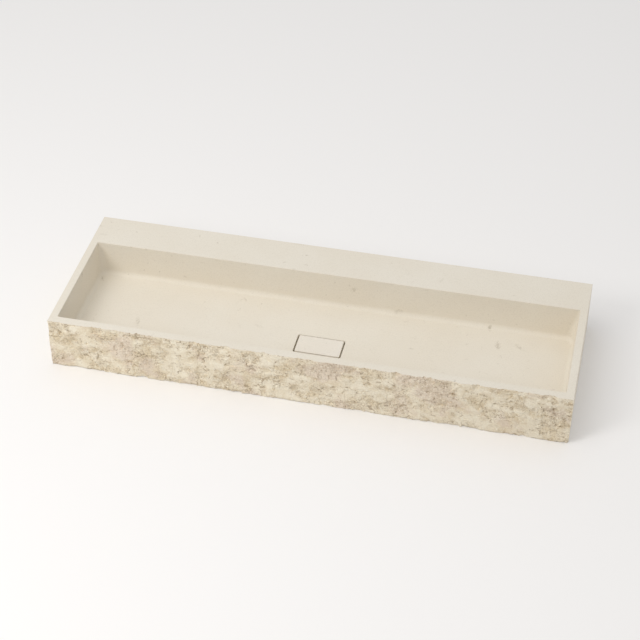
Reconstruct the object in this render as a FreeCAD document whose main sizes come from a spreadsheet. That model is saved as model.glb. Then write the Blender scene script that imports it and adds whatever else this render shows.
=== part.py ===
"""Stone washbasin: a carved limestone block with a flush drain under a loose stone cover.

Millimetres. +X runs along the basin, +Y points to its back and +Z points up. The origin is the centre
of the underside on which the block lies.
"""
import FreeCAD, Part
import math
import os
import re

import Sketcher

# Driving dimensions, by piece. Every other size is a formula of these.
SIZES = {
    # Stone block and bowl
    "block_length": 1200,
    "block_depth": 413,
    "bowl_depth": 89,
    "base_thickness": 41,
    "end_rim": 18,
    "front_rim": 23,
    "back_ledge": 102,
    "end_draft": 3,
    "side_draft": 2,
    "mouth_corner": 3,
    "floor_corner": 28,
    "floor_fillet": 12,
    "floor_border": 3,
    "floor_fall": 7,
    "edge_arris": 0.8,
    # Split front face
    "split_cell": 40,
    "split_relief": 3,
    "split_skim": 0.3,
    # Loose cover, its pocket and its pads
    "drain_offset": 5,
    "cover_length": 106,
    "cover_width": 57.5,
    "cover_thickness": 10,
    "cover_corner": 3,
    "cover_arris": 0.6,
    "cover_gap": 4,
    "cover_back_gap": 1.5,
    "pocket_corner": 5,
    "pocket_lip": 4,
    "pad_diameter": 10,
    "pad_thickness": 2.5,
    "pad_inset": 8,
    # Brass outlet and its seals
    "flange_diameter": 60,
    "flange_thickness": 2.5,
    "flange_clearance": 0.5,
    "shank_diameter": 41.9,
    "shank_clearance": 1.5,
    "outlet_bore": 30,
    "tail_thread": 32,
    "tail_thread_length": 11,
    "flange_seal_thickness": 1,
    "under_seal_diameter": 60,
    "under_seal_thickness": 2,
    "seal_clearance": 0.5,
    "washer_thickness": 0.8,
    "nut_diameter": 58,
    "nut_thickness": 4,
    "nut_slot": 6,
    "nut_slot_reach": 4,
    "nut_recess": 0.6,
    "counterbore_clearance": 3,
    "thread_clearance": 0.15,
    # Strainer, its screw and the hub that takes it
    "strainer_diameter": 40,
    "strainer_thickness": 1.2,
    "strainer_clearance": 0.3,
    "strainer_hole": 4,
    "inner_ring_radius": 8,
    "outer_ring_radius": 12.6,
    "hub_diameter": 11,
    "hub_height": 8,
    "spoke_width": 3.5,
    "spoke_height": 5,
    "screw_diameter": 5,
    "screw_length": 7,
    "head_diameter": 9,
    "head_height": 1.5,
    "head_slot": 1.2,
    "head_slot_reach": 0.7,
    # Threaded inserts in the back
    "insert_diameter": 18,
    "insert_length": 60,
    "insert_thread": 12,
    "thread_length": 45,
    "insert_bond": 0.2,
    "insert_drop": 40,
    "inner_insert_spacing": 280,
    "outer_insert_spacing": 880,
}

INNER_RING_HOLES = 6
OUTER_RING_HOLES = 12
SPOKES = 3
NUT_SLOTS = 4
NEAR = 1e-6

# Levels above the underside
BLOCK_TOP = "(base_thickness + bowl_depth)"
DRAIN_LEVEL = "(base_thickness - floor_fall)"
COVER_UNDERSIDE = f"({DRAIN_LEVEL} - cover_thickness)"
POCKET_FLOOR = f"({COVER_UNDERSIDE} - pad_thickness)"
STRAINER_SEAT = f"({POCKET_FLOOR} - strainer_thickness)"
FLANGE_UNDERSIDE = f"({POCKET_FLOOR} - flange_thickness)"
FLANGE_SEAT = f"({FLANGE_UNDERSIDE} - flange_seal_thickness)"
NUT_TOP = "(nut_recess + nut_thickness)"
WASHER_TOP = f"({NUT_TOP} + washer_thickness)"
COUNTERBORE_ROOF = f"({WASHER_TOP} + under_seal_thickness)"

# Plan sizes
BOWL_LENGTH = "(block_length - 2 * end_rim)"
BOWL_WIDTH = "(block_depth - front_rim - back_ledge)"
BOWL_CENTRE = "((front_rim - back_ledge) / 2)"
DRAIN_CENTRE = f"({BOWL_CENTRE} - drain_offset)"
FLOOR_LENGTH = f"({BOWL_LENGTH} - 2 * end_draft)"
FLOOR_WIDTH = f"({BOWL_WIDTH} - 2 * side_draft)"
FALL_INSET = "(floor_fillet + floor_border)"
FALL_CORNER = "max(floor_corner - floor_fillet - floor_border; floor_border)"
POCKET_LENGTH = "(cover_length + 2 * cover_gap)"
POCKET_WIDTH = "(cover_width + cover_gap + cover_back_gap)"
COVER_CENTRE = f"({DRAIN_CENTRE} + (cover_gap - cover_back_gap) / 2)"
STONE_HOLE = "(shank_diameter + 2 * shank_clearance)"
THREAD_BORE = "(shank_diameter + 2 * thread_clearance)"

doc = FreeCAD.newDocument("stone_washbasin")
sheet = doc.addObject("Spreadsheet::Sheet", "Sizes")


def fill_sheet():
    for row, (alias, number) in enumerate(SIZES.items(), start=1):
        sheet.set(f"A{row}", alias.replace("_", " "))
        sheet.set(f"B{row}", str(number))
        sheet.setAlias(f"B{row}", alias)
    doc.recompute()


def from_sheet(formula):
    """Point every size in a formula at its cell."""
    return re.sub(r"[a-z]+(?:_[a-z]+)+", r"Sizes.\g<0>", formula)


def size(formula):
    """The number that a formula of sizes gives now."""
    return float(sheet.evalExpression(from_sheet(formula)))


def bind(target, path, formula):
    """Tie a property to a formula of sizes."""
    target.setExpression(path, from_sheet(formula))


# Sketches

def new_body(label, centre="0"):
    """An empty body whose axis stands at a distance behind the block's middle."""
    body = doc.addObject("PartDesign::Body", label)
    body.Label = label
    bind(body, ".Placement.Base.y", centre)
    return body


def new_sketch(body, name, plane="XY_Plane", level="0", centre="0"):
    """A sketch on one of its body's origin planes, raised along that plane's normal."""
    sketch = body.newObject("Sketcher::SketchObject", name)
    support = next(item for item in body.Origin.OriginFeatures if item.Role == plane)
    sketch.AttachmentSupport = [(support, "")]
    sketch.MapMode = "FlatFace"
    bind(sketch, ".AttachmentOffset.Base.y", centre)
    bind(sketch, ".AttachmentOffset.Base.z", level)
    return sketch


def dimension(sketch, kind, elements, formula):
    """Add a dimension that follows a formula of sizes."""
    index = sketch.addConstraint(Sketcher.Constraint(kind, *elements, size(formula)))
    bind(sketch, f"Constraints[{index}]", formula)


def place_point(sketch, element, point, across, up):
    """Hold a point of the sketch at two distances from the sketch's origin."""
    origin = (-1, 1)
    for kind, formula, axis in (("DistanceX", across, -2), ("DistanceY", up, -1)):
        number = size(formula)
        if number == 0:
            sketch.addConstraint(Sketcher.Constraint("PointOnObject", element, point, axis))
        elif number > 0:
            dimension(sketch, kind, (*origin, element, point), formula)
        else:
            dimension(sketch, kind, (element, point, *origin), f"-({formula})")


def draw_circle(sketch, diameter, across="0", up="0"):
    centre = FreeCAD.Vector(size(across), size(up), 0)
    element = sketch.addGeometry(Part.Circle(centre, FreeCAD.Vector(0, 0, 1), size(diameter) / 2))
    place_point(sketch, element, 3, across, up)
    dimension(sketch, "Diameter", (element,), diameter)


def draw_outline(sketch, corners):
    """A closed outline of straight lines through corners given as pairs of formulas."""
    points = [FreeCAD.Vector(size(across), size(up), 0) for across, up in corners]
    count = len(points)
    for index in range(count):
        sketch.addGeometry(Part.LineSegment(points[index], points[(index + 1) % count]))
    for index in range(count):
        sketch.addConstraint(Sketcher.Constraint("Coincident", index, 2, (index + 1) % count, 1))
    for index, (across, up) in enumerate(corners):
        place_point(sketch, index, 1, across, up)


def draw_rectangle(sketch, left, right, bottom, top):
    draw_outline(sketch, [(left, bottom), (right, bottom), (right, top), (left, top)])


def draw_rounded_rectangle(sketch, length, width, radius):
    """A rectangle with rounded corners, centred on the sketch's origin."""
    corner = size(radius)
    reach = FreeCAD.Vector(size(length) / 2, size(width) / 2, 0)
    quarter = math.pi / 2
    arcs = []
    for turn, (right, up) in enumerate(((1, 1), (-1, 1), (-1, -1), (1, -1))):
        centre = FreeCAD.Vector(right * (reach.x - corner), up * (reach.y - corner), 0)
        circle = Part.Circle(centre, FreeCAD.Vector(0, 0, 1), corner)
        arcs.append(Part.ArcOfCircle(circle, turn * quarter, (turn + 1) * quarter))
        sketch.addGeometry(arcs[turn])
    for turn in range(4):
        sketch.addGeometry(Part.LineSegment(arcs[turn].EndPoint, arcs[(turn + 1) % 4].StartPoint))
    top, left, bottom, right = range(4, 8)
    for turn in range(4):
        sketch.addConstraint(Sketcher.Constraint("Tangent", turn, 2, turn + 4, 1))
        sketch.addConstraint(Sketcher.Constraint("Tangent", turn + 4, 2, (turn + 1) % 4, 1))
    for level_line in (top, bottom):
        sketch.addConstraint(Sketcher.Constraint("Horizontal", level_line))
    for upright_line in (left, right):
        sketch.addConstraint(Sketcher.Constraint("Vertical", upright_line))
    for turn in range(1, 4):
        sketch.addConstraint(Sketcher.Constraint("Equal", 0, turn))
    dimension(sketch, "Radius", (0,), radius)
    dimension(sketch, "DistanceX", (-1, 1, right, 1), f"{length} / 2")
    dimension(sketch, "DistanceX", (left, 1, -1, 1), f"{length} / 2")
    dimension(sketch, "DistanceY", (-1, 1, top, 1), f"{width} / 2")
    dimension(sketch, "DistanceY", (bottom, 1, -1, 1), f"{width} / 2")


# Features

def pad(body, sketch, height):
    feature = body.newObject("PartDesign::Pad", f"{sketch.Name}_pad")
    feature.Profile = sketch
    bind(feature, "Length", height)
    doc.recompute()
    return feature


def pocket(body, sketch, depth, upward=False):
    feature = body.newObject("PartDesign::Pocket", f"{sketch.Name}_pocket")
    feature.Profile = sketch
    feature.Reversed = upward
    bind(feature, "Length", depth)
    doc.recompute()
    return feature


def hollow_between(body, first, second):
    """Cut the straight-sided space between two outlines."""
    feature = body.newObject("PartDesign::SubtractiveLoft", f"{first.Name}_hollow")
    feature.Profile = first
    feature.Sections = [second]
    feature.Ruled = True
    doc.recompute()
    return feature


def revolve(body, sketch):
    feature = body.newObject("PartDesign::Revolution", f"{sketch.Name}_revolution")
    feature.Profile = sketch
    feature.ReferenceAxis = (sketch, ["V_Axis"])
    feature.Angle = 360
    doc.recompute()
    return feature


def repeat_round(body, feature, count):
    """Repeat a feature evenly round the axis of its body."""
    pattern = body.newObject("PartDesign::PolarPattern", f"{feature.Name}_ring")
    pattern.Originals = [feature]
    pattern.Axis = (feature.Profile[0], ["N_Axis"])
    pattern.Angle = 360
    pattern.Occurrences = count
    body.Tip = pattern
    doc.recompute()
    return pattern


def edges_at_level(feature, level, behind=-math.inf):
    """Names of the edges that lie at one height and reach back past a place across the block."""
    height = size(level)
    names = []
    for number, edge in enumerate(feature.Shape.Edges, start=1):
        box = edge.BoundBox
        level_edge = abs(box.ZMin - height) < NEAR and abs(box.ZMax - height) < NEAR
        if level_edge and box.YMax > behind:
            names.append(f"Edge{number}")
    return names


def dress(body, kind, base, names, path, amount):
    """Round or chamfer some edges of a feature."""
    feature = body.newObject(f"PartDesign::{kind}", f"{base.Name}_{kind.lower()}")
    feature.Base = (base, names)
    bind(feature, path, amount)
    doc.recompute()
    return feature


def ring(label, outer, inner, level, height):
    """A flat ring round the outlet's axis."""
    body = new_body(label, DRAIN_CENTRE)
    sketch = new_sketch(body, f"{label}_outline", level=level)
    draw_circle(sketch, outer)
    draw_circle(sketch, inner)
    pad(body, sketch, height)
    return body


# Stone block

def carved_block():
    """The sawn block with its bowl, its drain and the holes in its back."""
    body = new_body("carved_block")
    outline = new_sketch(body, "block_outline")
    half_length = "block_length / 2"
    half_depth = "block_depth / 2"
    draw_rectangle(outline, f"-{half_length}", half_length, f"-{half_depth}", half_depth)
    pad(body, outline, BLOCK_TOP)

    mouth = new_sketch(body, "bowl_mouth", level=BLOCK_TOP, centre=BOWL_CENTRE)
    draw_rounded_rectangle(mouth, BOWL_LENGTH, BOWL_WIDTH, "mouth_corner")
    floor = new_sketch(body, "bowl_floor", level="base_thickness", centre=BOWL_CENTRE)
    draw_rounded_rectangle(floor, FLOOR_LENGTH, FLOOR_WIDTH, "floor_corner")
    bowl = hollow_between(body, mouth, floor)
    floor_edges = edges_at_level(bowl, "base_thickness")
    rounded_bowl = dress(body, "Fillet", bowl, floor_edges, "Radius", "floor_fillet")

    front = -size(half_depth)
    rim_edges = edges_at_level(rounded_bowl, BLOCK_TOP, behind=front + NEAR)
    dress(body, "Chamfer", rounded_bowl, rim_edges, "Size", "edge_arris")

    fall_top = new_sketch(body, "fall_top", level="base_thickness", centre=BOWL_CENTRE)
    draw_rounded_rectangle(
        fall_top,
        f"({FLOOR_LENGTH} - 2 * {FALL_INSET})",
        f"({FLOOR_WIDTH} - 2 * {FALL_INSET})",
        FALL_CORNER,
    )
    fall_foot = new_sketch(body, "fall_foot", level=DRAIN_LEVEL, centre=DRAIN_CENTRE)
    draw_rounded_rectangle(
        fall_foot,
        f"({POCKET_LENGTH} + 2 * pocket_lip)",
        f"({POCKET_WIDTH} + 2 * pocket_lip)",
        "(pocket_corner + pocket_lip)",
    )
    hollow_between(body, fall_top, fall_foot)

    cover_pocket = new_sketch(body, "cover_pocket", level=DRAIN_LEVEL, centre=DRAIN_CENTRE)
    draw_rounded_rectangle(cover_pocket, POCKET_LENGTH, POCKET_WIDTH, "pocket_corner")
    pocket(body, cover_pocket, f"{DRAIN_LEVEL} - {POCKET_FLOOR}")
    seat = new_sketch(body, "flange_seat", level=POCKET_FLOOR, centre=DRAIN_CENTRE)
    draw_circle(seat, "(flange_diameter + 2 * flange_clearance)")
    pocket(body, seat, f"{POCKET_FLOOR} - {FLANGE_SEAT}")
    drain = new_sketch(body, "drain_hole", level=FLANGE_SEAT, centre=DRAIN_CENTRE)
    draw_circle(drain, STONE_HOLE)
    pocket(body, drain, FLANGE_SEAT)
    counterbore = new_sketch(body, "counterbore", centre=DRAIN_CENTRE)
    draw_circle(counterbore, "(under_seal_diameter + 2 * counterbore_clearance)")
    pocket(body, counterbore, COUNTERBORE_ROOF, upward=True)

    anchor_holes = new_sketch(body, "anchor_holes", plane="XZ_Plane", level=f"-{half_depth}")
    for across in insert_places():
        draw_circle(
            anchor_holes,
            "(insert_diameter + 2 * insert_bond)",
            across,
            f"({BLOCK_TOP} - insert_drop)",
        )
    pocket(body, anchor_holes, "insert_length + insert_bond", upward=True)
    return body


def scatter(column, row, salt):
    """A fixed number from 0 to 1 that jumps about from one corner of the split face to the next."""
    wave = math.sin(12.9898 * column + 78.233 * row + 37.719 * salt) * 43758.5453
    return wave - math.floor(wave)


def split_waste():
    """The stone that breaks away in front of the split face, as one faceted solid."""
    length, depth, height = size("block_length"), size("block_depth"), size(BLOCK_TOP)
    cell, relief, skim = size("split_cell"), size("split_relief"), size("split_skim")
    overshoot = cell / 2
    columns = max(2, round(length / cell))
    rows = max(2, round(height / cell))
    column_step = (length + 2 * overshoot) / columns
    row_step = (height + 2 * overshoot) / rows
    most_shift = 0.3
    front = -depth / 2

    def corner(column, row):
        across = -length / 2 - overshoot + column * column_step
        up = -overshoot + row * row_step
        if 0 < column < columns:
            across += (2 * scatter(column, row, 1) - 1) * most_shift * column_step
        if 0 < row < rows:
            up += (2 * scatter(column, row, 2) - 1) * most_shift * row_step
        return FreeCAD.Vector(across, front + skim + relief * scatter(column, row, 3), up)

    def flat_face(points):
        return Part.Face(Part.makePolygon(points + points[:1]))

    def in_front(point):
        return FreeCAD.Vector(point.x, front - overshoot, point.z)

    grid = [[corner(column, row) for row in range(rows + 1)] for column in range(columns + 1)]
    faces = []
    for column in range(columns):
        for row in range(rows):
            low, high = grid[column][row], grid[column + 1][row + 1]
            for other in (grid[column + 1][row], grid[column][row + 1]):
                faces.append(flat_face([low, other, high]))
    borders = [
        [line[0] for line in grid],
        [line[-1] for line in grid],
        grid[0],
        grid[-1],
    ]
    for border in borders:
        faces.append(flat_face(border + [in_front(border[-1]), in_front(border[0])]))
    corners = [grid[0][0], grid[-1][0], grid[-1][-1], grid[0][-1]]
    faces.append(flat_face([in_front(point) for point in corners]))

    shell = Part.makeShell(faces)
    shell.sewShape()
    solid = Part.Solid(shell)
    if solid.Volume < 0:
        solid.reverse()
    waste = doc.addObject("Part::Feature", "split_waste")
    waste.Shape = solid
    waste.Placement = FreeCAD.Placement()
    return waste


def basin_block():
    """The carved block with its front split rough."""
    block = doc.addObject("Part::Cut", "basin_block")
    block.Label = "basin_block"
    block.Base = carved_block()
    block.Tool = split_waste()
    doc.recompute()
    return block


# Loose cover

def drain_cover():
    """The stone plate that lies flush in the floor of the bowl."""
    body = new_body("drain_cover", COVER_CENTRE)
    outline = new_sketch(body, "cover_outline", level=COVER_UNDERSIDE)
    draw_rounded_rectangle(outline, "cover_length", "cover_width", "cover_corner")
    plate = pad(body, outline, "cover_thickness")
    top_edges = edges_at_level(plate, DRAIN_LEVEL)
    dress(body, "Chamfer", plate, top_edges, "Size", "cover_arris")
    return body


def cover_pads():
    """Four round pads glued under the corners of the cover."""
    pads = []
    for right in (-1, 1):
        for back in (-1, 1):
            disc = doc.addObject("Part::Cylinder", "cover_pad")
            bind(disc, "Radius", "pad_diameter / 2")
            bind(disc, "Height", "pad_thickness")
            bind(disc, ".Placement.Base.x", f"{right} * (cover_length / 2 - pad_inset)")
            bind(disc, ".Placement.Base.y", f"{COVER_CENTRE} + {back} * (cover_width / 2 - pad_inset)")
            bind(disc, ".Placement.Base.z", POCKET_FLOOR)
            pads.append(disc)
    return group("cover_pads", pads)


def group(label, members):
    """Separate solids that share one node."""
    compound = doc.addObject("Part::Compound", label)
    compound.Label = label
    compound.Links = members
    doc.recompute()
    return compound


# Outlet

def outlet_bush():
    """The flanged outlet: a rebate for the strainer, a hub on spokes and a thread for the tail pipe."""
    body = new_body("outlet_bush", DRAIN_CENTRE)
    bore = "outlet_bore / 2"
    tail = "tail_thread / 2"
    tail_stop = "(nut_recess + tail_thread_length)"
    rebate = "(strainer_diameter / 2 + strainer_clearance)"
    flange = "flange_diameter / 2"
    shank = "shank_diameter / 2"
    section = new_sketch(body, "bush_section", plane="XZ_Plane")
    draw_outline(section, [
        (tail, "nut_recess"),
        (shank, "nut_recess"),
        (shank, FLANGE_UNDERSIDE),
        (flange, FLANGE_UNDERSIDE),
        (flange, POCKET_FLOOR),
        (rebate, POCKET_FLOOR),
        (rebate, STRAINER_SEAT),
        (bore, STRAINER_SEAT),
        (bore, tail_stop),
        (tail, tail_stop),
    ])
    revolve(body, section)

    hub_foot = f"({STRAINER_SEAT} - hub_height)"
    hub = new_sketch(body, "hub", level=hub_foot)
    draw_circle(hub, "hub_diameter")
    pad(body, hub, "hub_height")
    spoke = new_sketch(body, "spoke", level=hub_foot)
    into_wall = "(outlet_bore + shank_diameter) / 4"
    draw_rectangle(spoke, "hub_diameter / 4", into_wall, "-spoke_width / 2", "spoke_width / 2")
    repeat_round(body, pad(body, spoke, "spoke_height"), SPOKES)
    tapped = new_sketch(body, "tapped_hole", level=STRAINER_SEAT)
    draw_circle(tapped, "(screw_diameter + 2 * thread_clearance)")
    pocket(body, tapped, "hub_height")
    return body


def flange_seal():
    return ring(
        "flange_seal",
        "(flange_diameter - 2 * seal_clearance)",
        "(shank_diameter + 2 * seal_clearance)",
        FLANGE_SEAT,
        "flange_seal_thickness",
    )


def under_seal():
    return ring(
        "under_seal",
        "under_seal_diameter",
        "(shank_diameter + 2 * seal_clearance)",
        WASHER_TOP,
        "under_seal_thickness",
    )


def slip_washer():
    return ring(
        "slip_washer",
        "under_seal_diameter",
        "(shank_diameter + 2 * seal_clearance)",
        NUT_TOP,
        "washer_thickness",
    )


def ring_nut():
    """The round nut below the stone, slotted for a pin spanner."""
    body = ring("ring_nut", "nut_diameter", THREAD_BORE, "nut_recess", "nut_thickness")
    slot = new_sketch(body, "nut_slot_outline", level=NUT_TOP)
    draw_rectangle(
        slot,
        "(nut_diameter / 2 - nut_slot_reach)",
        "(nut_diameter / 2 + nut_slot_reach)",
        "-nut_slot / 2",
        "nut_slot / 2",
    )
    repeat_round(body, pocket(body, slot, "nut_thickness"), NUT_SLOTS)
    return body


# Strainer

def strainer_plate():
    """The perforated plate in the flange's rebate."""
    body = ring(
        "strainer_plate",
        "strainer_diameter",
        "(screw_diameter + 2 * strainer_clearance)",
        STRAINER_SEAT,
        "strainer_thickness",
    )
    for radius, count in (("inner_ring_radius", INNER_RING_HOLES), ("outer_ring_radius", OUTER_RING_HOLES)):
        hole = new_sketch(body, f"{radius}_hole", level=POCKET_FLOOR)
        draw_circle(hole, "strainer_hole", across=radius)
        repeat_round(body, pocket(body, hole, "strainer_thickness"), count)
    return body


def strainer_screw():
    """The slotted screw that holds the strainer down."""
    body = new_body("strainer_screw", DRAIN_CENTRE)
    tip = f"({POCKET_FLOOR} - screw_length)"
    head_top = f"({POCKET_FLOOR} + head_height)"
    section = new_sketch(body, "screw_section", plane="XZ_Plane")
    draw_outline(section, [
        ("0", tip),
        ("screw_diameter / 2", tip),
        ("screw_diameter / 2", POCKET_FLOOR),
        ("head_diameter / 2", POCKET_FLOOR),
        ("head_diameter / 2", head_top),
        ("0", head_top),
    ])
    revolve(body, section)
    slot = new_sketch(body, "head_slot_outline", level=head_top)
    draw_rectangle(slot, "-head_diameter", "head_diameter", "-head_slot / 2", "head_slot / 2")
    pocket(body, slot, "head_slot_reach")
    return body


# Wall inserts

def insert_places():
    """Distances of the inserts from the middle of the block, from end to end."""
    halves = ("outer_insert_spacing / 2", "inner_insert_spacing / 2")
    return [f"-{half}" for half in halves] + [half for half in reversed(halves)]


def wall_inserts():
    """Threaded sleeves bonded into blind holes in the back."""
    inward = FreeCAD.Rotation(FreeCAD.Vector(1, 0, 0), 90)
    sleeves = []
    for across in insert_places():
        outside = doc.addObject("Part::Cylinder", "insert_outside")
        bind(outside, "Radius", "insert_diameter / 2")
        bind(outside, "Height", "insert_length")
        thread = doc.addObject("Part::Cylinder", "insert_bore")
        bind(thread, "Radius", "insert_thread / 2")
        bind(thread, "Height", "thread_length")
        for cylinder in (outside, thread):
            cylinder.Placement.Rotation = inward
            bind(cylinder, ".Placement.Base.x", across)
            bind(cylinder, ".Placement.Base.y", "block_depth / 2")
            bind(cylinder, ".Placement.Base.z", f"{BLOCK_TOP} - insert_drop")
        sleeve = doc.addObject("Part::Cut", "wall_insert")
        sleeve.Base = outside
        sleeve.Tool = thread
        sleeves.append(sleeve)
    return group("wall_inserts", sleeves)


# Checks and export

def check_document():
    """Stop if an object failed or a cut took nothing away."""
    cutting = ("PartDesign::Pocket", "PartDesign::SubtractiveLoft")
    for item in doc.Objects:
        if "Invalid" in item.State or "Error" in item.State:
            raise RuntimeError(f"{item.Label} failed: {item.State}")
        if item.TypeId in cutting and item.Shape.Volume >= item.BaseFeature.Shape.Volume:
            raise RuntimeError(f"{item.Label} cuts nothing")


def export(pieces):
    for piece in pieces:
        if piece.Shape.isNull() or not piece.Shape.isValid():
            raise RuntimeError(f"{piece.Label} has no valid shape")
    os.makedirs("parts", exist_ok=True)
    for piece in pieces:
        piece.Shape.exportStep(f"parts/{piece.Label}.step")
        print(f"{piece.Label}: {len(piece.Shape.Solids)} solids, {piece.Shape.Volume / 1000:.2f} cm3")


fill_sheet()
sub_parts = [
    basin_block(),
    drain_cover(),
    cover_pads(),
    outlet_bush(),
    flange_seal(),
    strainer_plate(),
    strainer_screw(),
    under_seal(),
    slip_washer(),
    ring_nut(),
    wall_inserts(),
]
doc.recompute()
check_document()
export(sub_parts)
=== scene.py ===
import math

import bmesh
import bpy
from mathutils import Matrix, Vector


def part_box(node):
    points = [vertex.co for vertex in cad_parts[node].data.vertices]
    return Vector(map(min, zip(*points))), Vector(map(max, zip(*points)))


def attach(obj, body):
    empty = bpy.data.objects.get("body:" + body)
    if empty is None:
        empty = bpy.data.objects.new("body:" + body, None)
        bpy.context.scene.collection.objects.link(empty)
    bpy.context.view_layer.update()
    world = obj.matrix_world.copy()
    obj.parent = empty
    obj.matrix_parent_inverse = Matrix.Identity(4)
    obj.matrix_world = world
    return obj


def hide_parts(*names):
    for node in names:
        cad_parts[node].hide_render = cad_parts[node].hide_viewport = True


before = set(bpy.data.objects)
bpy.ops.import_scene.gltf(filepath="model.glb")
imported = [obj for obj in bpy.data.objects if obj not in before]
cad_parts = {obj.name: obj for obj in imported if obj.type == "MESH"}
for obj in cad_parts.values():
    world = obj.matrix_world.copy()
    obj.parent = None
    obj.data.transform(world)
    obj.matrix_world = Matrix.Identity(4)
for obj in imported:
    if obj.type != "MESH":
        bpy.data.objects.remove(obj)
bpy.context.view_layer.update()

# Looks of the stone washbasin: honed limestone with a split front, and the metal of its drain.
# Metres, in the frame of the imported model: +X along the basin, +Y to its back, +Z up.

BLOCK_LOW, BLOCK_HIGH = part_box("basin_block")
OUTLET_LOW, OUTLET_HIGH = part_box("outlet_bush")
DRAIN_AXIS = (OUTLET_LOW + OUTLET_HIGH) / 2

# Camera, solved from the straight edges of the block in the photograph; angles in degrees, lens in mm
CAMERA_PLACE = (0.65, -2.8932, 2.5575)
CAMERA_TURN = 12.813
CAMERA_TILT = 39.909
CAMERA_LENS = 93.306
CAMERA_FAR = 50.0
SENSOR_WIDTH = 36.0

# Light and floor
KEY_PLACE = (-1.5, -1.3, 5.0)
KEY_SIZE = 3.2
KEY_POWER = 43.5
FILL_PLACE = (-1.7, -2.0, 2.2)
FILL_SIZE = 1.4
FILL_POWER = 26.6
LIGHT_TARGET = (0.0, 0.0, 0.1)
HORIZON_STRENGTH = 0.405
ZENITH_STRENGTH = 0.81
SKY_COLOUR = (0.985, 0.99, 1.0, 1.0)
LAMP_COLOUR = (1.0, 0.985, 0.965)
BACKDROP_STRENGTH = 0.65
FLOOR_REACH = 12.0
FLOOR_LEVEL = -0.0004
FLOOR_CLEAR_REACH = 0.005

# Cutting of the split front
FACE_STEP = 0.0016
FACE_OVERSHOOT = 0.004
CUT_REACH = 0.03
RAY_INSET = 0.0005
RAY_REACH = 0.2
MERGE_REACH = 1e-6
SLIVER_SIZE = 1e-5

# Break of the split front: how fine its patterns are, and how they are drawn out along the bed
FLAKE_SCALE = 18.0
CHIP_SCALE = 46.0
PIT_SCALE = 210.0
FLAKE_BED = (1.0, 1.0, 1.35)
COARSE_BED = (1.0, 1.0, 1.5)
SEAM_BED = (1.0, 1.0, 2.2)
EDGE_BED = (1.0, 0.0, 0.25)
FRONT_PLANE = (1.0, 0.0, 1.0)
BEND_REACH = 0.034
SEAM_LEVEL = 0.52

# Which faces of the block are split, sawn or flat, and which of its edges are sharp
SPLIT_BAND = 0.016
SPLIT_FACING = -0.01
SAWN_MARGIN = 0.0004
SQUARE_ANGLE = math.radians(2)
SHARP_ANGLE = math.radians(35)

# Fossils and other marks of the stone
MARK_AXIS = (0.3, 0.2, 0.93)
MARK_STRETCH = (0.5, 1.6, 1.0)
MARK_FADE = 1.6
MARK_BEND_REACH = 0.014
LEAST_MARK = 0.001
SPECK_RATIO = 2.6
SPECK_SHIFT = (1.7, 0.6, 2.3)
SHELL_RATIO = 0.8
SHELL_SIZE = 0.26
SHELL_RIM = 0.8
SHELL_SHIFT = (0.4, 3.1, 1.2)
COVER_SHIFT = 3.1

# Patches of the split front, painted shade in its recesses and towards its right end, and lines of the
# saw
PINK_SHIFT = (7.3, 1.1, 2.9)
GREY_SHIFT = (3.7, 5.2, 0.4)
SHADE_DEPTH_FROM = 0.003
SHADE_DEPTH_TO = 0.009
PAINTED_END_SHADE = 0.13
SAW_STRETCH = (3.0, 3.0, 160.0)


def srgb(red, green, blue):
    """A colour written as eight-bit screen values, made linear."""
    def linear(level):
        share = level / 255
        return share / 12.92 if share <= 0.04045 else ((share + 0.055) / 1.055) ** 2.4
    return (linear(red), linear(green), linear(blue), 1.0)


STONE_GLOSS = 0.15
HONED_COLOUR = srgb(235, 228, 214)
HONED_WARM = srgb(229, 219, 201)
COVER_COLOUR = srgb(240, 234, 224)
MARK_COLOUR = srgb(158, 144, 120)
SPLIT_PALE = srgb(252, 245, 227)
SPLIT_CREAM = srgb(247, 236, 213)
SPLIT_OCHRE = srgb(232, 216, 186)
SPLIT_PINK = srgb(232, 216, 199)
SPLIT_GREY = srgb(177, 157, 129)
FLOOR_COLOUR = srgb(250, 248, 246)
BRASS_LIGHT = srgb(214, 184, 124)
BRASS_DARK = srgb(176, 142, 88)
STEEL_LIGHT = srgb(205, 204, 200)
STEEL_DARK = srgb(176, 175, 172)
ZINC_LIGHT = srgb(190, 190, 194)
ZINC_DARK = srgb(150, 148, 140)
RUBBER_COLOUR = srgb(38, 38, 38)
RUBBER_BLOOM = srgb(60, 59, 57)
SILICONE_COLOUR = srgb(214, 214, 210)
SILICONE_BLOOM = srgb(196, 196, 192)
PLASTIC_COLOUR = srgb(232, 230, 222)
PLASTIC_BLOOM = srgb(214, 211, 200)


# Node helpers

def add(tree, kind, inputs=None, **settings):
    """Add a node, set its options, and link or set its inputs."""
    node = tree.nodes.new(kind)
    for name, value in settings.items():
        setattr(node, name, value)
    for key, value in (inputs or {}).items():
        if isinstance(value, bpy.types.NodeSocket):
            tree.links.new(value, node.inputs[key])
        else:
            node.inputs[key].default_value = value
    return node


def calc(tree, operation, *values):
    """A number worked out from one, two or three others."""
    return add(tree, "ShaderNodeMath", dict(enumerate(values)), operation=operation).outputs[0]


def fold(tree, operation, total, *others):
    """A number worked out from any count of others, one after the other."""
    for other in others:
        total = calc(tree, operation, total, other)
    return total


def vector_calc(tree, operation, *values):
    """A vector, or for a dot product or a length a number, worked out from one or two vectors."""
    node = add(tree, "ShaderNodeVectorMath", dict(enumerate(values)), operation=operation)
    return node.outputs["Value" if operation in ("DOT_PRODUCT", "LENGTH") else "Vector"]


def parts(tree, vector):
    """The X, Y and Z of a vector."""
    return add(tree, "ShaderNodeSeparateXYZ", {"Vector": vector}).outputs


def joined(tree, x, y, z):
    """The vector with this X, Y and Z."""
    return add(tree, "ShaderNodeCombineXYZ", {"X": x, "Y": y, "Z": z}).outputs[0]


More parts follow.
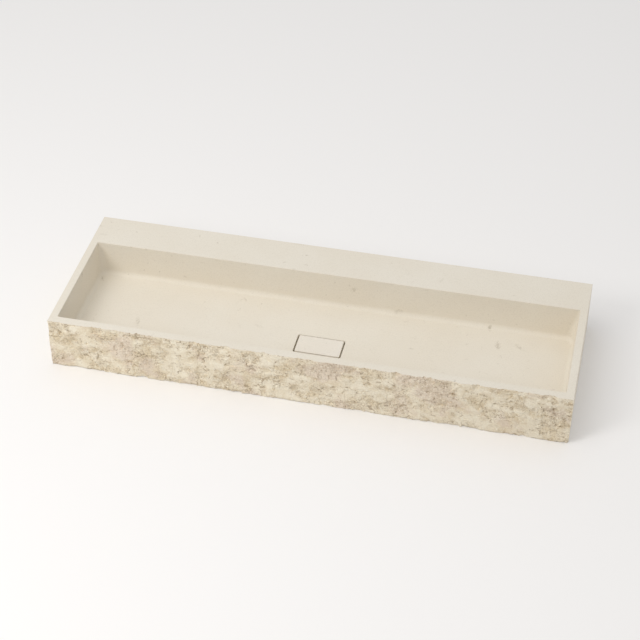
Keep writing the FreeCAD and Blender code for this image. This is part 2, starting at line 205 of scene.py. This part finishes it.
def remap(tree, value, low, high, new_low=0.0, new_high=1.0, smooth=True):
    """Stretch a span of values to another span, and hold it there."""
    node = add(
        tree,
        "ShaderNodeMapRange",
        {"Value": value, "From Min": low, "From Max": high, "To Min": new_low, "To Max": new_high},
        interpolation_type="SMOOTHSTEP" if smooth else "LINEAR",
    )
    return node.outputs["Result"]


def noise(tree, place, scale, detail=2.0, roughness=0.5, output="Fac"):
    """A chance value, or a chance colour, that changes smoothly from place to place."""
    inputs = {"Vector": place, "Scale": scale, "Detail": detail, "Roughness": roughness}
    return add(tree, "ShaderNodeTexNoise", inputs).outputs[output]


def voronoi(tree, place, scale):
    """Cells round scattered points, each with a chance colour of its own."""
    return add(tree, "ShaderNodeTexVoronoi", {"Vector": place, "Scale": scale}).outputs


def centred(tree, chance):
    """A chance colour as a push to any side of zero."""
    return vector_calc(tree, "SUBTRACT", chance, (0.5, 0.5, 0.5))


def push(tree, place, reach, scale, detail, roughness):
    """A push that wanders in length and direction from place to place."""
    wander = centred(tree, noise(tree, place, scale, detail, roughness, output="Color"))
    node = add(tree, "ShaderNodeVectorMath", {0: wander, "Scale": reach}, operation="SCALE")
    return node.outputs["Vector"]


def blend(tree, factor, first, second):
    """A colour between two others; the mixing node's colours are its inputs 6 and 7."""
    return add(tree, "ShaderNodeMix", {0: factor, 6: first, 7: second}, data_type="RGBA").outputs[2]


def bump(tree, height, strength, distance):
    """A normal that follows a height too fine for the mesh."""
    inputs = {"Height": height, "Strength": strength, "Distance": distance}
    return add(tree, "ShaderNodeBump", inputs).outputs[0]


def new_group(name, kind, inputs, outputs):
    """An empty node group with named sockets, and its two end nodes."""
    tree = bpy.data.node_groups.new(name, kind)
    for label, socket_type, default in inputs:
        socket = tree.interface.new_socket(name=label, in_out="INPUT", socket_type=socket_type)
        if default is not None:
            socket.default_value = default
    for label, socket_type in outputs:
        tree.interface.new_socket(name=label, in_out="OUTPUT", socket_type=socket_type)
    return tree, tree.nodes.new("NodeGroupInput").outputs, tree.nodes.new("NodeGroupOutput").inputs


# Pattern of the break, shared by the shape and the colour of the split front

def bend(tree, place):
    """Flatten places along the bed of the stone and push them about, so that no break runs straight."""
    bedded = vector_calc(tree, "MULTIPLY", place, FLAKE_BED)
    wander = push(tree, place, BEND_REACH, scale=30.0, detail=5.0, roughness=0.62)
    return vector_calc(tree, "ADD", bedded, wander)


def coarse_mask(tree, place):
    """Where the break is coarse, between patches where it is smooth."""
    bedded = vector_calc(tree, "MULTIPLY", place, COARSE_BED)
    return remap(tree, noise(tree, bedded, scale=15.0, detail=4.0, roughness=0.6), 0.42, 0.58)


def pit_mask(tree, place):
    """Small pits where the break is coarse, each of its own strength."""
    cells = voronoi(tree, bend(tree, place), PIT_SCALE)
    pit = remap(tree, cells["Distance"], 0.1, 0.5, 1.0, 0.0)
    return fold(tree, "MULTIPLY", pit, coarse_mask(tree, place), parts(tree, cells["Color"])["X"])


def seam_mask(tree, place):
    """Thin broken lines that follow the bed of the stone."""
    bedded = vector_calc(tree, "MULTIPLY", place, SEAM_BED)
    layers = noise(tree, bedded, scale=17.0, detail=4.0, roughness=0.55)
    from_line = calc(tree, "ABSOLUTE", calc(tree, "SUBTRACT", layers, SEAM_LEVEL))
    line = remap(tree, from_line, 0.004, 0.018, 1.0, 0.0)
    broken = remap(tree, noise(tree, place, scale=55.0, detail=3.0), 0.46, 0.6)
    return calc(tree, "MULTIPLY", line, broken)


# Shape of the split front

def flake_depth(tree, place, scale, lean, step):
    """Depth of flakes that each lean their own way, with a step between neighbours."""
    cells = voronoi(tree, place, scale)
    from_centre = vector_calc(tree, "SUBTRACT", place, cells["Position"])
    tilt = vector_calc(tree, "DOT_PRODUCT", from_centre, centred(tree, cells["Color"]))
    level = calc(tree, "MULTIPLY", parts(tree, cells["Color"])["Y"], step)
    return calc(tree, "MULTIPLY_ADD", tilt, lean, level)


def relief_tree():
    """How deep the stone has broken away at each place of the split front."""
    tree, given, result = new_group(
        "split_relief",
        "GeometryNodeTree",
        [
            ("Place", "NodeSocketVector", None),
            ("Top", "NodeSocketFloat", None),
            ("Flake Lean", "NodeSocketFloat", 0.14),
            ("Flake Step", "NodeSocketFloat", 0.0012),
            ("Chip Lean", "NodeSocketFloat", 0.34),
            ("Chip Step", "NodeSocketFloat", 0.0009),
            ("Pit Depth", "NodeSocketFloat", 0.0022),
            ("Seam Depth", "NodeSocketFloat", 0.0016),
            ("Rough Depth", "NodeSocketFloat", 0.0034),
            ("Skim", "NodeSocketFloat", 0.0012),
            ("Held Height", "NodeSocketFloat", 0.012),
            ("Edge Bite", "NodeSocketFloat", 0.0055),
            ("Edge Height", "NodeSocketFloat", 0.018),
            ("Least Depth", "NodeSocketFloat", 0.0001),
        ],
        [("Depth", "NodeSocketFloat")],
    )
    place = given["Place"]
    bent = bend(tree, place)
    flakes = flake_depth(tree, bent, FLAKE_SCALE, given["Flake Lean"], given["Flake Step"])
    chips = flake_depth(tree, bent, CHIP_SCALE, given["Chip Lean"], given["Chip Step"])
    pits = calc(tree, "MULTIPLY", pit_mask(tree, place), given["Pit Depth"])
    seams = calc(tree, "MULTIPLY", seam_mask(tree, place), given["Seam Depth"])
    grain = noise(tree, place, scale=95.0, detail=6.0, roughness=0.7)
    rough = remap(tree, grain, 0.3, 0.7, 0.0, given["Rough Depth"], smooth=False)
    rough_share = remap(tree, coarse_mask(tree, place), 0.0, 1.0, 0.35, 1.0)
    skimmed = calc(tree, "SUBTRACT", calc(tree, "MULTIPLY", rough, rough_share), given["Skim"])
    depth = fold(tree, "ADD", skimmed, flakes, chips, pits, seams)

    # Near the honed top the break is held back, but for some bites out of the edge
    below_top = calc(tree, "SUBTRACT", given["Top"], parts(tree, place)["Z"])
    held = remap(tree, below_top, 0.0, given["Held Height"], 0.4, 1.0)
    near_top = remap(tree, below_top, 0.0, given["Edge Height"], 1.0, 0.0)
    along = vector_calc(tree, "MULTIPLY", place, EDGE_BED)
    bites = remap(tree, noise(tree, along, scale=30.0, detail=4.0, roughness=0.6), 0.48, 0.68)
    bite_depth = fold(tree, "MULTIPLY", bites, near_top, given["Edge Bite"])
    total = calc(tree, "MULTIPLY_ADD", depth, held, bite_depth)
    tree.links.new(calc(tree, "MAXIMUM", total, given["Least Depth"]), result["Depth"])
    return tree


def kept_inside(tree, value, low, high):
    """A value held a little inside a span, so that a ray doesn't miss the block."""
    raised = calc(tree, "MAXIMUM", value, calc(tree, "ADD", low, RAY_INSET))
    return calc(tree, "MINIMUM", raised, calc(tree, "SUBTRACT", high, RAY_INSET))


def break_face(tree, given, low, high, here):
    """A fine upright sheet, pressed onto the facets of the front and sunk by the relief."""
    length = calc(tree, "SUBTRACT", high["X"], low["X"])
    height = calc(tree, "SUBTRACT", high["Z"], low["Z"])
    middle = calc(tree, "MULTIPLY", calc(tree, "ADD", low["Z"], high["Z"]), 0.5)
    sheet = add(tree, "GeometryNodeMeshGrid", {
        "Size X": calc(tree, "ADD", length, 2 * FACE_OVERSHOOT),
        "Size Y": calc(tree, "ADD", height, 2 * FACE_OVERSHOOT),
        "Vertices X": given["Columns"],
        "Vertices Y": given["Rows"],
    }).outputs["Mesh"]
    up = calc(tree, "ADD", here["Y"], middle)
    aim = joined(
        tree,
        kept_inside(tree, here["X"], low["X"], high["X"]),
        calc(tree, "SUBTRACT", low["Y"], CUT_REACH),
        kept_inside(tree, up, low["Z"], high["Z"]),
    )
    ray = add(tree, "GeometryNodeRaycast", {
        "Target Geometry": given["Geometry"],
        "Source Position": aim,
        "Ray Direction": (0.0, 1.0, 0.0),
        "Ray Length": RAY_REACH,
    })
    facet = parts(tree, ray.outputs["Hit Position"])["Y"]
    on_front = {"Place": joined(tree, here["X"], 0.0, up), "Top": high["Z"]}
    relief = add(tree, "GeometryNodeGroup", on_front, node_tree=relief_tree()).outputs["Depth"]
    broken = joined(tree, here["X"], calc(tree, "ADD", facet, relief), up)
    return add(tree, "GeometryNodeSetPosition", {"Geometry": sheet, "Position": broken}).outputs[0]


def waste(tree, face):
    """The closed body in front of a sheet, which is cut away."""
    inner = add(tree, "GeometryNodeFlipFaces", {"Mesh": face}).outputs[0]
    outer = add(tree, "GeometryNodeExtrudeMesh", {
        "Mesh": face,
        "Offset": (0.0, -1.0, 0.0),
        "Offset Scale": CUT_REACH,
        "Individual": False,
    }, mode="FACES").outputs["Mesh"]
    both = add(tree, "GeometryNodeJoinGeometry")
    for side in (inner, outer):
        tree.links.new(side, both.inputs[0])
    merged = {"Geometry": both.outputs[0], "Distance": MERGE_REACH}
    return add(tree, "GeometryNodeMergeByDistance", merged).outputs[0]


def shade_faces(tree, shape, facing, split):
    """Faces square to an axis are shaded flat; rounded and split ones are smooth up to a sharp edge."""
    squareness = fold(tree, "MAXIMUM", *(calc(tree, "ABSOLUTE", facing[axis]) for axis in "XYZ"))
    rounded = calc(tree, "LESS_THAN", squareness, math.cos(SQUARE_ANGLE))
    soft = {"Geometry": shape, "Shade Smooth": calc(tree, "MAXIMUM", rounded, split)}
    smooth = add(tree, "GeometryNodeSetShadeSmooth", soft).outputs[0]
    angle = add(tree, "GeometryNodeInputMeshEdgeAngle").outputs["Unsigned Angle"]
    sharp = calc(tree, "GREATER_THAN", angle, SHARP_ANGLE)
    crisp = {"Geometry": smooth, "Selection": sharp, "Shade Smooth": False}
    return add(tree, "GeometryNodeSetShadeSmooth", crisp, domain="EDGE").outputs[0]


def finish_faces(tree, given, shape, low, high, here, split):
    """Honed stone all over, then the sawn ends, back and underside, then the split front."""
    end = calc(tree, "SUBTRACT", high["X"], SAWN_MARGIN)
    at_end = calc(tree, "GREATER_THAN", calc(tree, "ABSOLUTE", here["X"]), end)
    at_back = calc(tree, "GREATER_THAN", here["Y"], calc(tree, "SUBTRACT", high["Y"], SAWN_MARGIN))
    at_foot = calc(tree, "LESS_THAN", here["Z"], calc(tree, "ADD", low["Z"], SAWN_MARGIN))
    sawn = fold(tree, "MAXIMUM", at_end, at_back, at_foot)
    for label, where in (("Honed", True), ("Sawn", sawn), ("Split", split)):
        inputs = {"Geometry": shape, "Selection": where, "Material": given[label]}
        shape = add(tree, "GeometryNodeSetMaterial", inputs).outputs[0]
    return shape


def split_front_tree():
    """Break the front of a block away along a rough face, and give each kind of face its finish."""
    tree, given, result = new_group(
        "split_front",
        "GeometryNodeTree",
        [
            ("Geometry", "NodeSocketGeometry", None),
            ("Low", "NodeSocketVector", None),
            ("High", "NodeSocketVector", None),
            ("Columns", "NodeSocketInt", None),
            ("Rows", "NodeSocketInt", None),
            ("Honed", "NodeSocketMaterial", None),
            ("Sawn", "NodeSocketMaterial", None),
            ("Split", "NodeSocketMaterial", None),
        ],
        [("Geometry", "NodeSocketGeometry")],
    )
    tree.is_modifier = True
    low = parts(tree, given["Low"])
    high = parts(tree, given["High"])
    here = parts(tree, add(tree, "GeometryNodeInputPosition").outputs[0])
    face = break_face(tree, given, low, high, here)
    bodies_to_cut = {"Mesh 1": given["Geometry"], "Mesh 2": waste(tree, face)}
    cut = add(tree, "GeometryNodeMeshBoolean", bodies_to_cut, operation="DIFFERENCE", solver="MANIFOLD")

    facing = parts(tree, add(tree, "GeometryNodeInputNormal").outputs[0])
    in_band = calc(tree, "LESS_THAN", here["Y"], calc(tree, "ADD", low["Y"], SPLIT_BAND))
    split = calc(tree, "MULTIPLY", in_band, calc(tree, "LESS_THAN", facing["Y"], SPLIT_FACING))
    shaded = shade_faces(tree, cut.outputs["Mesh"], facing, split)
    shape = add(tree, "GeometryNodeRealizeInstances", {"Geometry": shaded}).outputs[0]
    finished = finish_faces(tree, given, shape, low, high, here, split)
    tree.links.new(finished, result["Geometry"])
    return tree


def set_input(modifier, label, value):
    """Set a named input of a modifier by its identifier."""
    for item in modifier.node_group.interface.items_tree:
        if item.name == label and item.in_out == "INPUT":
            modifier[item.identifier] = value


def settle(piece):
    """Turn a piece's modifiers into a plain mesh."""
    graph = bpy.context.evaluated_depsgraph_get()
    mesh = bpy.data.meshes.new_from_object(piece.evaluated_get(graph), depsgraph=graph)
    mesh.name = piece.name
    piece.modifiers.clear()
    piece.data = mesh


def bodies(shell):
    """The faces of a mesh, sorted into sets that hang together."""
    unseen = set(shell.faces)
    found = []
    while unseen:
        waiting = [unseen.pop()]
        body = set(waiting)
        while waiting:
            near = {face for edge in waiting.pop().edges for face in edge.link_faces} & unseen
            unseen -= near
            body |= near
            waiting += near
        found.append(body)
    return found


def clear_break(mesh):
    """Leave one closed body of triangles, without the folded slivers and loose crumbs of the break."""
    shell = bmesh.new()
    shell.from_mesh(mesh)
    bmesh.ops.triangulate(shell, faces=shell.faces)
    same_corners = {}
    for face in shell.faces:
        same_corners.setdefault(frozenset(face.verts), []).append(face)
    folded = [face for faces in same_corners.values() if len(faces) > 1 for face in faces]
    bmesh.ops.delete(shell, geom=folded, context="FACES")
    largest = max(bodies(shell), key=len)
    crumbs = [face for face in shell.faces if face not in largest]
    bmesh.ops.delete(shell, geom=crumbs, context="FACES")
    bmesh.ops.dissolve_degenerate(shell, edges=shell.edges, dist=SLIVER_SIZE)
    bmesh.ops.triangulate(shell, faces=shell.faces)
    shell.to_mesh(mesh)
    shell.free()


def plain_block(finish):
    """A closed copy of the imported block, with its loose triangles merged."""
    shell = bmesh.new()
    shell.from_mesh(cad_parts["basin_block"].data)
    bmesh.ops.remove_doubles(shell, verts=shell.verts, dist=MERGE_REACH)
    mesh = bpy.data.meshes.new("stone_block")
    shell.to_mesh(mesh)
    shell.free()
    if "custom_normal" in mesh.attributes:
        mesh.attributes.remove(mesh.attributes["custom_normal"])
    mesh.materials.append(finish)
    block = bpy.data.objects.new("stone_block", mesh)
    bpy.context.scene.collection.objects.link(block)
    return block


def stone_block(honed, sawn, split):
    """The carved block with its split front, in place of the plain solid."""
    block = plain_block(honed)
    modifier = block.modifiers.new("split_front", "NODES")
    modifier.node_group = split_front_tree()
    size = BLOCK_HIGH - BLOCK_LOW
    values = {
        "Low": tuple(BLOCK_LOW),
        "High": tuple(BLOCK_HIGH),
        "Columns": round((size.x + 2 * FACE_OVERSHOOT) / FACE_STEP),
        "Rows": round((size.z + 2 * FACE_OVERSHOOT) / FACE_STEP),
        "Honed": honed,
        "Sawn": sawn,
        "Split": split,
    }
    for label, value in values.items():
        set_input(modifier, label, value)
    settle(block)
    clear_break(block.data)
    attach(block, "basin")
    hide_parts("basin_block")


# Stone

def spots(tree, place, scale, size):
    """How far inside its mark each place lies: every mark has its own size, turn and strength."""
    cells = voronoi(tree, place, scale)
    chance = parts(tree, cells["Color"])
    turned = add(tree, "ShaderNodeVectorRotate", {
        "Vector": vector_calc(tree, "SUBTRACT", place, cells["Position"]),
        "Axis": MARK_AXIS,
        "Angle": calc(tree, "MULTIPLY", chance["X"], 2 * math.pi),
    }, rotation_type="AXIS_ANGLE").outputs[0]
    drawn_out = vector_calc(tree, "MULTIPLY", turned, MARK_STRETCH)
    distance = calc(tree, "MULTIPLY", vector_calc(tree, "LENGTH", drawn_out), scale)
    reach = calc(tree, "MULTIPLY", chance["Y"], size)
    inside = calc(tree, "DIVIDE", distance, calc(tree, "MAXIMUM", reach, LEAST_MARK))
    return inside, calc(tree, "POWER", chance["Z"], MARK_FADE)


def marks_group():
    """Masks for the fossils, the faint clouds and the grain of the limestone."""
    tree, given, result = new_group(
        "limestone_marks",
        "ShaderNodeTree",
        [
            ("Place", "NodeSocketVector", None),
            ("Fossil Scale", "NodeSocketFloat", 19.0),
            ("Fossil Size", "NodeSocketFloat", 0.23),
            ("Cloud Scale", "NodeSocketFloat", 6.0),
            ("Grain Scale", "NodeSocketFloat", 420.0),
        ],
        [("Fossil", "NodeSocketFloat"), ("Cloud", "NodeSocketFloat"), ("Grain", "NodeSocketFloat")],
    )
    place = given["Place"]
    wander = push(tree, place, MARK_BEND_REACH, scale=70.0, detail=4.0, roughness=0.6)
    bent = vector_calc(tree, "ADD", place, wander)

    # Whole fossils, small specks, and shells of which only arcs of the rim show
    whole, whole_strength = spots(tree, bent, given["Fossil Scale"], given["Fossil Size"])
    solid = calc(tree, "MULTIPLY", remap(tree, whole, 0.3, 1.0, 1.0, 0.0), whole_strength)
    speck_place = vector_calc(tree, "ADD", bent, SPECK_SHIFT)
    speck_scale = calc(tree, "MULTIPLY", given["Fossil Scale"], SPECK_RATIO)
    small, small_strength = spots(tree, speck_place, speck_scale, given["Fossil Size"])
    specks = calc(tree, "MULTIPLY", remap(tree, small, 0.4, 1.0, 0.6, 0.0), small_strength)
    shell_place = vector_calc(tree, "ADD", bent, SHELL_SHIFT)
    shell_scale = calc(tree, "MULTIPLY", given["Fossil Scale"], SHELL_RATIO)
    shell, shell_strength = spots(tree, shell_place, shell_scale, SHELL_SIZE)
    from_rim = calc(tree, "ABSOLUTE", calc(tree, "SUBTRACT", shell, SHELL_RIM))
    rim = remap(tree, from_rim, 0.02, 0.16, 0.45, 0.0)
    arcs = remap(tree, noise(tree, place, scale=45.0), 0.5, 0.62)
    rims = fold(tree, "MULTIPLY", rim, shell_strength, arcs)

    marks = fold(tree, "MAXIMUM", solid, specks, rims)
    broken = remap(tree, noise(tree, place, scale=240.0, detail=3.0), 0.36, 0.56)
    patch = remap(tree, noise(tree, place, scale=4.5), 0.38, 0.58, 0.35, 1.0)
    tree.links.new(fold(tree, "MULTIPLY", marks, broken, patch), result["Fossil"])
    clouds = noise(tree, place, given["Cloud Scale"], detail=5.0, roughness=0.55)
    tree.links.new(remap(tree, clouds, 0.3, 0.7), result["Cloud"])
    tree.links.new(noise(tree, place, given["Grain Scale"], detail=3.0), result["Grain"])
    return tree


def new_material(name, **constants):
    """A material whose surface has some constant inputs set on its own sockets."""
    material = bpy.data.materials.new(name)
    material.use_nodes = True
    tree = material.node_tree
    surface = tree.nodes["Principled BSDF"]
    for label, value in constants.items():
        surface.inputs[label.replace("_", " ")].default_value = value
    return material, tree, surface.inputs


def object_place(tree):
    """The place on a piece, in its own coordinates."""
    return add(tree, "ShaderNodeTexCoord").outputs["Object"]


def stone_marks(tree, place, group, **values):
    """The shared marks of the limestone, with some values of their own."""
    marks = add(tree, "ShaderNodeGroup", {"Place": place}, node_tree=group)
    for label, value in values.items():
        marks.inputs[label.replace("_", " ")].default_value = value
    return marks.outputs


def honed_limestone(name, group, colour=HONED_COLOUR, shift=0.0):
    """Smooth matt limestone with faint clouds and scattered fossils."""
    material, tree, surface = new_material(name, Specular_IOR_Level=STONE_GLOSS)
    moved = vector_calc(tree, "ADD", object_place(tree), (shift, shift, shift))
    marks = stone_marks(tree, moved, group)
    ground = blend(tree, calc(tree, "MULTIPLY", marks["Cloud"], 0.35), colour, HONED_WARM)
    speckled = blend(tree, remap(tree, marks["Grain"], 0.45, 0.7, 0.0, 0.09), ground, MARK_COLOUR)
    coloured = blend(tree, calc(tree, "MULTIPLY", marks["Fossil"], 0.65), speckled, MARK_COLOUR)
    tree.links.new(coloured, surface["Base Color"])
    tree.links.new(remap(tree, marks["Grain"], 0.3, 0.7, 0.48, 0.62), surface["Roughness"])
    tree.links.new(bump(tree, marks["Grain"], strength=0.08, distance=0.0005), surface["Normal"])
    return material


def sawn_limestone(group):
    """Rougher limestone with the faint lines of the saw."""
    material, tree, surface = new_material("sawn_limestone", Specular_IOR_Level=STONE_GLOSS)
    place = object_place(tree)
    marks = stone_marks(tree, place, group)
    stretched = vector_calc(tree, "MULTIPLY", place, SAW_STRETCH)
    lines = noise(tree, stretched, scale=1.6, detail=4.0)
    ground = blend(tree, calc(tree, "MULTIPLY", marks["Cloud"], 0.4), HONED_COLOUR, HONED_WARM)
    lined = blend(tree, remap(tree, lines, 0.45, 0.75, 0.0, 0.35), ground, HONED_WARM)
    coloured = blend(tree, calc(tree, "MULTIPLY", marks["Fossil"], 0.6), lined, MARK_COLOUR)
    tree.links.new(coloured, surface["Base Color"])
    tree.links.new(remap(tree, marks["Grain"], 0.3, 0.7, 0.7, 0.85), surface["Roughness"])
    tree.links.new(bump(tree, lines, strength=0.2, distance=0.001), surface["Normal"])
    return material


def split_tints(tree, flat):
    """How far each place of the split front goes from cream to ochre, with a tint for each flake."""
    tints = noise(tree, flat, scale=40.0, detail=5.0, roughness=0.65)
    bent = bend(tree, flat)
    for scale in (FLAKE_SCALE, CHIP_SCALE):
        chance = parts(tree, voronoi(tree, bent, scale)["Color"])["X"]
        tints = calc(tree, "MULTIPLY_ADD", calc(tree, "SUBTRACT", chance, 0.5), 0.2, tints)
    return remap(tree, tints, 0.35, 0.65)


def split_limestone(group):
    """Broken limestone: patches of cream, ochre and pink, with dark pits, a sandy grain, and painted
    shade in its recesses and towards its right end.
    """
    material, tree, surface = new_material("split_limestone")
    place = object_place(tree)
    there = parts(tree, place)
    flat = vector_calc(tree, "MULTIPLY", place, FRONT_PLANE)
    marks = stone_marks(tree, place, group, Cloud_Scale=18.0, Grain_Scale=520.0)
    pinks = noise(tree, vector_calc(tree, "ADD", flat, PINK_SHIFT), scale=15.0, detail=4.0)
    greys = noise(tree, vector_calc(tree, "ADD", flat, GREY_SHIFT), scale=34.0, detail=4.0)
    sand = noise(tree, place, scale=260.0, detail=4.0, roughness=0.65)
    coarse = coarse_mask(tree, flat)
    smooth = calc(tree, "SUBTRACT", 1.0, coarse)
    # Painted shade: the deeper parts of the split front are greyed, as if shadowed in its recesses
    deep = remap(tree, there["Y"], BLOCK_LOW.y + SHADE_DEPTH_FROM, BLOCK_LOW.y + SHADE_DEPTH_TO)
    # Painted shade: the split front greys towards its right end, the side away from the light
    painted_shade_to_right_end = remap(tree, there["X"], BLOCK_LOW.x, BLOCK_HIGH.x, 0.0, PAINTED_END_SHADE, smooth=False)
    dark_sand = remap(tree, sand, 0.52, 0.68, 0.0, 0.55)
    light_sand = remap(tree, sand, 0.46, 0.32, 0.0, 0.8)
    layers = (
        (remap(tree, pinks, 0.48, 0.62, 0.0, 0.7), SPLIT_PINK),
        (calc(tree, "MULTIPLY", smooth, remap(tree, pinks, 0.56, 0.42, 0.0, 0.5)), SPLIT_PALE),
        (calc(tree, "MULTIPLY", coarse, remap(tree, greys, 0.46, 0.66, 0.0, 0.22)), SPLIT_GREY),
        # Painted shade in the recesses of the split front
        (calc(tree, "MULTIPLY", deep, 0.18), SPLIT_GREY),
        # Painted shade towards the right end of the split front
        (painted_shade_to_right_end, SPLIT_GREY),
        (calc(tree, "MULTIPLY", dark_sand, remap(tree, coarse, 0.0, 1.0, 0.3, 1.0)), SPLIT_GREY),
        (light_sand, SPLIT_PALE),
        (calc(tree, "MULTIPLY", pit_mask(tree, flat), 0.9), SPLIT_GREY),
        (calc(tree, "MULTIPLY", seam_mask(tree, flat), 0.8), SPLIT_GREY),
    )
    coloured = blend(tree, split_tints(tree, flat), SPLIT_CREAM, SPLIT_OCHRE)
    for share, colour in layers:
        coloured = blend(tree, share, coloured, colour)
    tree.links.new(coloured, surface["Base Color"])
    tree.links.new(remap(tree, marks["Grain"], 0.3, 0.7, 0.8, 0.95), surface["Roughness"])
    rough = calc(tree, "ADD", sand, calc(tree, "MULTIPLY", marks["Grain"], 0.5))
    tree.links.new(bump(tree, rough, strength=0.9, distance=0.0016), surface["Normal"])
    return material


# Drain metal, rubber and plastic

def turned_metal(name, light, dark, roughness, pitch):
    """Metal turned on a lathe: fine rings round the drain's axis."""
    material, tree, surface = new_material(name, Metallic=1.0)
    place = object_place(tree)
    from_axis = vector_calc(tree, "SUBTRACT", place, tuple(DRAIN_AXIS))
    radius = vector_calc(tree, "LENGTH", vector_calc(tree, "MULTIPLY", from_axis, (1.0, 1.0, 0.0)))
    groove = joined(tree, radius, 0.0, parts(tree, from_axis)["Z"])
    rings = noise(tree, groove, scale=1 / pitch)
    stain = noise(tree, place, scale=120.0, detail=4.0)
    coloured = blend(tree, remap(tree, stain, 0.35, 0.75, 0.0, 0.55), light, dark)
    tree.links.new(coloured, surface["Base Color"])
    tree.links.new(remap(tree, rings, 0.3, 0.7, roughness, roughness + 0.18), surface["Roughness"])
    tree.links.new(bump(tree, rings, strength=0.25, distance=0.0003), surface["Normal"])
    return material


def plain_finish(name, colour, bloom_colour, roughness, scale):
    """Rubber, silicone or plastic with a faint uneven bloom."""
    material, tree, surface = new_material(name)
    bloom = noise(tree, object_place(tree), scale, detail=4.0, roughness=0.6)
    coloured = blend(tree, remap(tree, bloom, 0.35, 0.7), colour, bloom_colour)
    tree.links.new(coloured, surface["Base Color"])
    tree.links.new(remap(tree, bloom, 0.3, 0.7, roughness, roughness + 0.15), surface["Roughness"])
    tree.links.new(bump(tree, bloom, strength=0.1, distance=0.0003), surface["Normal"])
    return material


def dress_nodes(finishes):
    """Give solids that keep their shape a finish of their own."""
    for name, material in finishes.items():
        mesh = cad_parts[name].data
        mesh.materials.clear()
        mesh.materials.append(material)


# Stage

def floor_finish():
    """Matt white; clear from below and right under the block, so that its underside is seen and lit."""
    matt = {"Base_Color": FLOOR_COLOUR, "Roughness": 0.9, "Specular_IOR_Level": 0.0}
    material, tree, _ = new_material("studio_floor", **matt)
    from_below = add(tree, "ShaderNodeNewGeometry").outputs["Backfacing"]
    ray_length = add(tree, "ShaderNodeLightPath").outputs["Ray Length"]
    right_under = calc(tree, "LESS_THAN", ray_length, FLOOR_CLEAR_REACH)
    seen = add(tree, "ShaderNodeMixShader", {
        0: calc(tree, "MAXIMUM", from_below, right_under),
        1: tree.nodes["Principled BSDF"].outputs[0],
        2: add(tree, "ShaderNodeBsdfTransparent").outputs[0],
    })
    tree.links.new(seen.outputs[0], tree.nodes["Material Output"].inputs["Surface"])
    return material


def build_floor():
    """A wide white floor under the block."""
    mesh = bpy.data.meshes.new("studio_floor")
    sides = ((-1, -1), (1, -1), (1, 1), (-1, 1))
    corners = [(x * FLOOR_REACH, y * FLOOR_REACH, FLOOR_LEVEL) for x, y in sides]
    mesh.from_pydata(corners, [], [(0, 1, 2, 3)])
    floor = bpy.data.objects.new("studio_floor", mesh)
    bpy.context.scene.collection.objects.link(floor)
    mesh.materials.append(floor_finish())


def build_sky():
    """Soft light from all round, brighter from above; seen directly it is one even tone."""
    world = bpy.data.worlds.new("studio")
    world.use_nodes = True
    tree = world.node_tree
    outward = add(tree, "ShaderNodeTexCoord").outputs["Generated"]
    upward = parts(tree, outward)["Z"]
    glow = remap(tree, upward, 0.0, 1.0, HORIZON_STRENGTH, ZENITH_STRENGTH, smooth=False)
    path = add(tree, "ShaderNodeLightPath").outputs
    direct = [path[label] for label in ("Is Camera Ray", "Is Glossy Ray", "Is Transmission Ray")]
    seen = fold(tree, "MAXIMUM", *direct)
    strength = add(tree, "ShaderNodeMix", {0: seen, 2: glow, 3: BACKDROP_STRENGTH}).outputs[0]
    background = tree.nodes["Background"].inputs
    background["Color"].default_value = SKY_COLOUR
    tree.links.new(strength, background["Strength"])
    bpy.context.scene.world = world


def build_lamp(name, place, size, power):
    """A round lamp that faces the basin."""
    light = bpy.data.lights.new(name, "AREA")
    light.shape = "DISK"
    light.size = size
    light.energy = power
    light.color = LAMP_COLOUR
    lamp = bpy.data.objects.new(name, light)
    lamp.location = place
    lamp.rotation_euler = (Vector(LIGHT_TARGET) - Vector(place)).to_track_quat("-Z", "Y").to_euler()
    bpy.context.scene.collection.objects.link(lamp)


def build_camera():
    """The photograph's view."""
    lens = bpy.data.cameras.new("photo_view")
    lens.lens = CAMERA_LENS
    lens.sensor_width = SENSOR_WIDTH
    lens.clip_end = CAMERA_FAR
    camera = bpy.data.objects.new("photo_view", lens)
    camera.location = CAMERA_PLACE
    camera.rotation_euler = (math.radians(90 - CAMERA_TILT), 0.0, math.radians(CAMERA_TURN))
    bpy.context.scene.collection.objects.link(camera)
    bpy.context.scene.camera = camera


build_camera()
build_sky()
build_lamp("key", KEY_PLACE, KEY_SIZE, KEY_POWER)
build_lamp("fill", FILL_PLACE, FILL_SIZE, FILL_POWER)
build_floor()

stone_group = marks_group()
honed = honed_limestone("honed_limestone", stone_group)
stone_block(honed, sawn_limestone(stone_group), split_limestone(stone_group))
cover_stone = honed_limestone("cover_limestone", stone_group, COVER_COLOUR, shift=COVER_SHIFT)
brass = turned_metal("turned_brass", BRASS_LIGHT, BRASS_DARK, roughness=0.28, pitch=0.0006)
steel = turned_metal("brushed_stainless", STEEL_LIGHT, STEEL_DARK, roughness=0.3, pitch=0.0005)
zinc = turned_metal("zinc_plate", ZINC_LIGHT, ZINC_DARK, roughness=0.35, pitch=0.0012)
rubber = plain_finish("black_rubber", RUBBER_COLOUR, RUBBER_BLOOM, roughness=0.6, scale=300.0)
silicone = plain_finish("grey_silicone", SILICONE_COLOUR, SILICONE_BLOOM, roughness=0.45, scale=200.0)
plastic = plain_finish("white_plastic", PLASTIC_COLOUR, PLASTIC_BLOOM, roughness=0.4, scale=160.0)
dress_nodes({
    "drain_cover": cover_stone,
    "cover_pads": silicone,
    "outlet_bush": brass,
    "ring_nut": brass,
    "strainer_plate": steel,
    "strainer_screw": steel,
    "flange_seal": rubber,
    "under_seal": rubber,
    "slip_washer": plastic,
    "wall_inserts": zinc,
})
bpy.context.scene.view_settings.view_transform = "Standard"
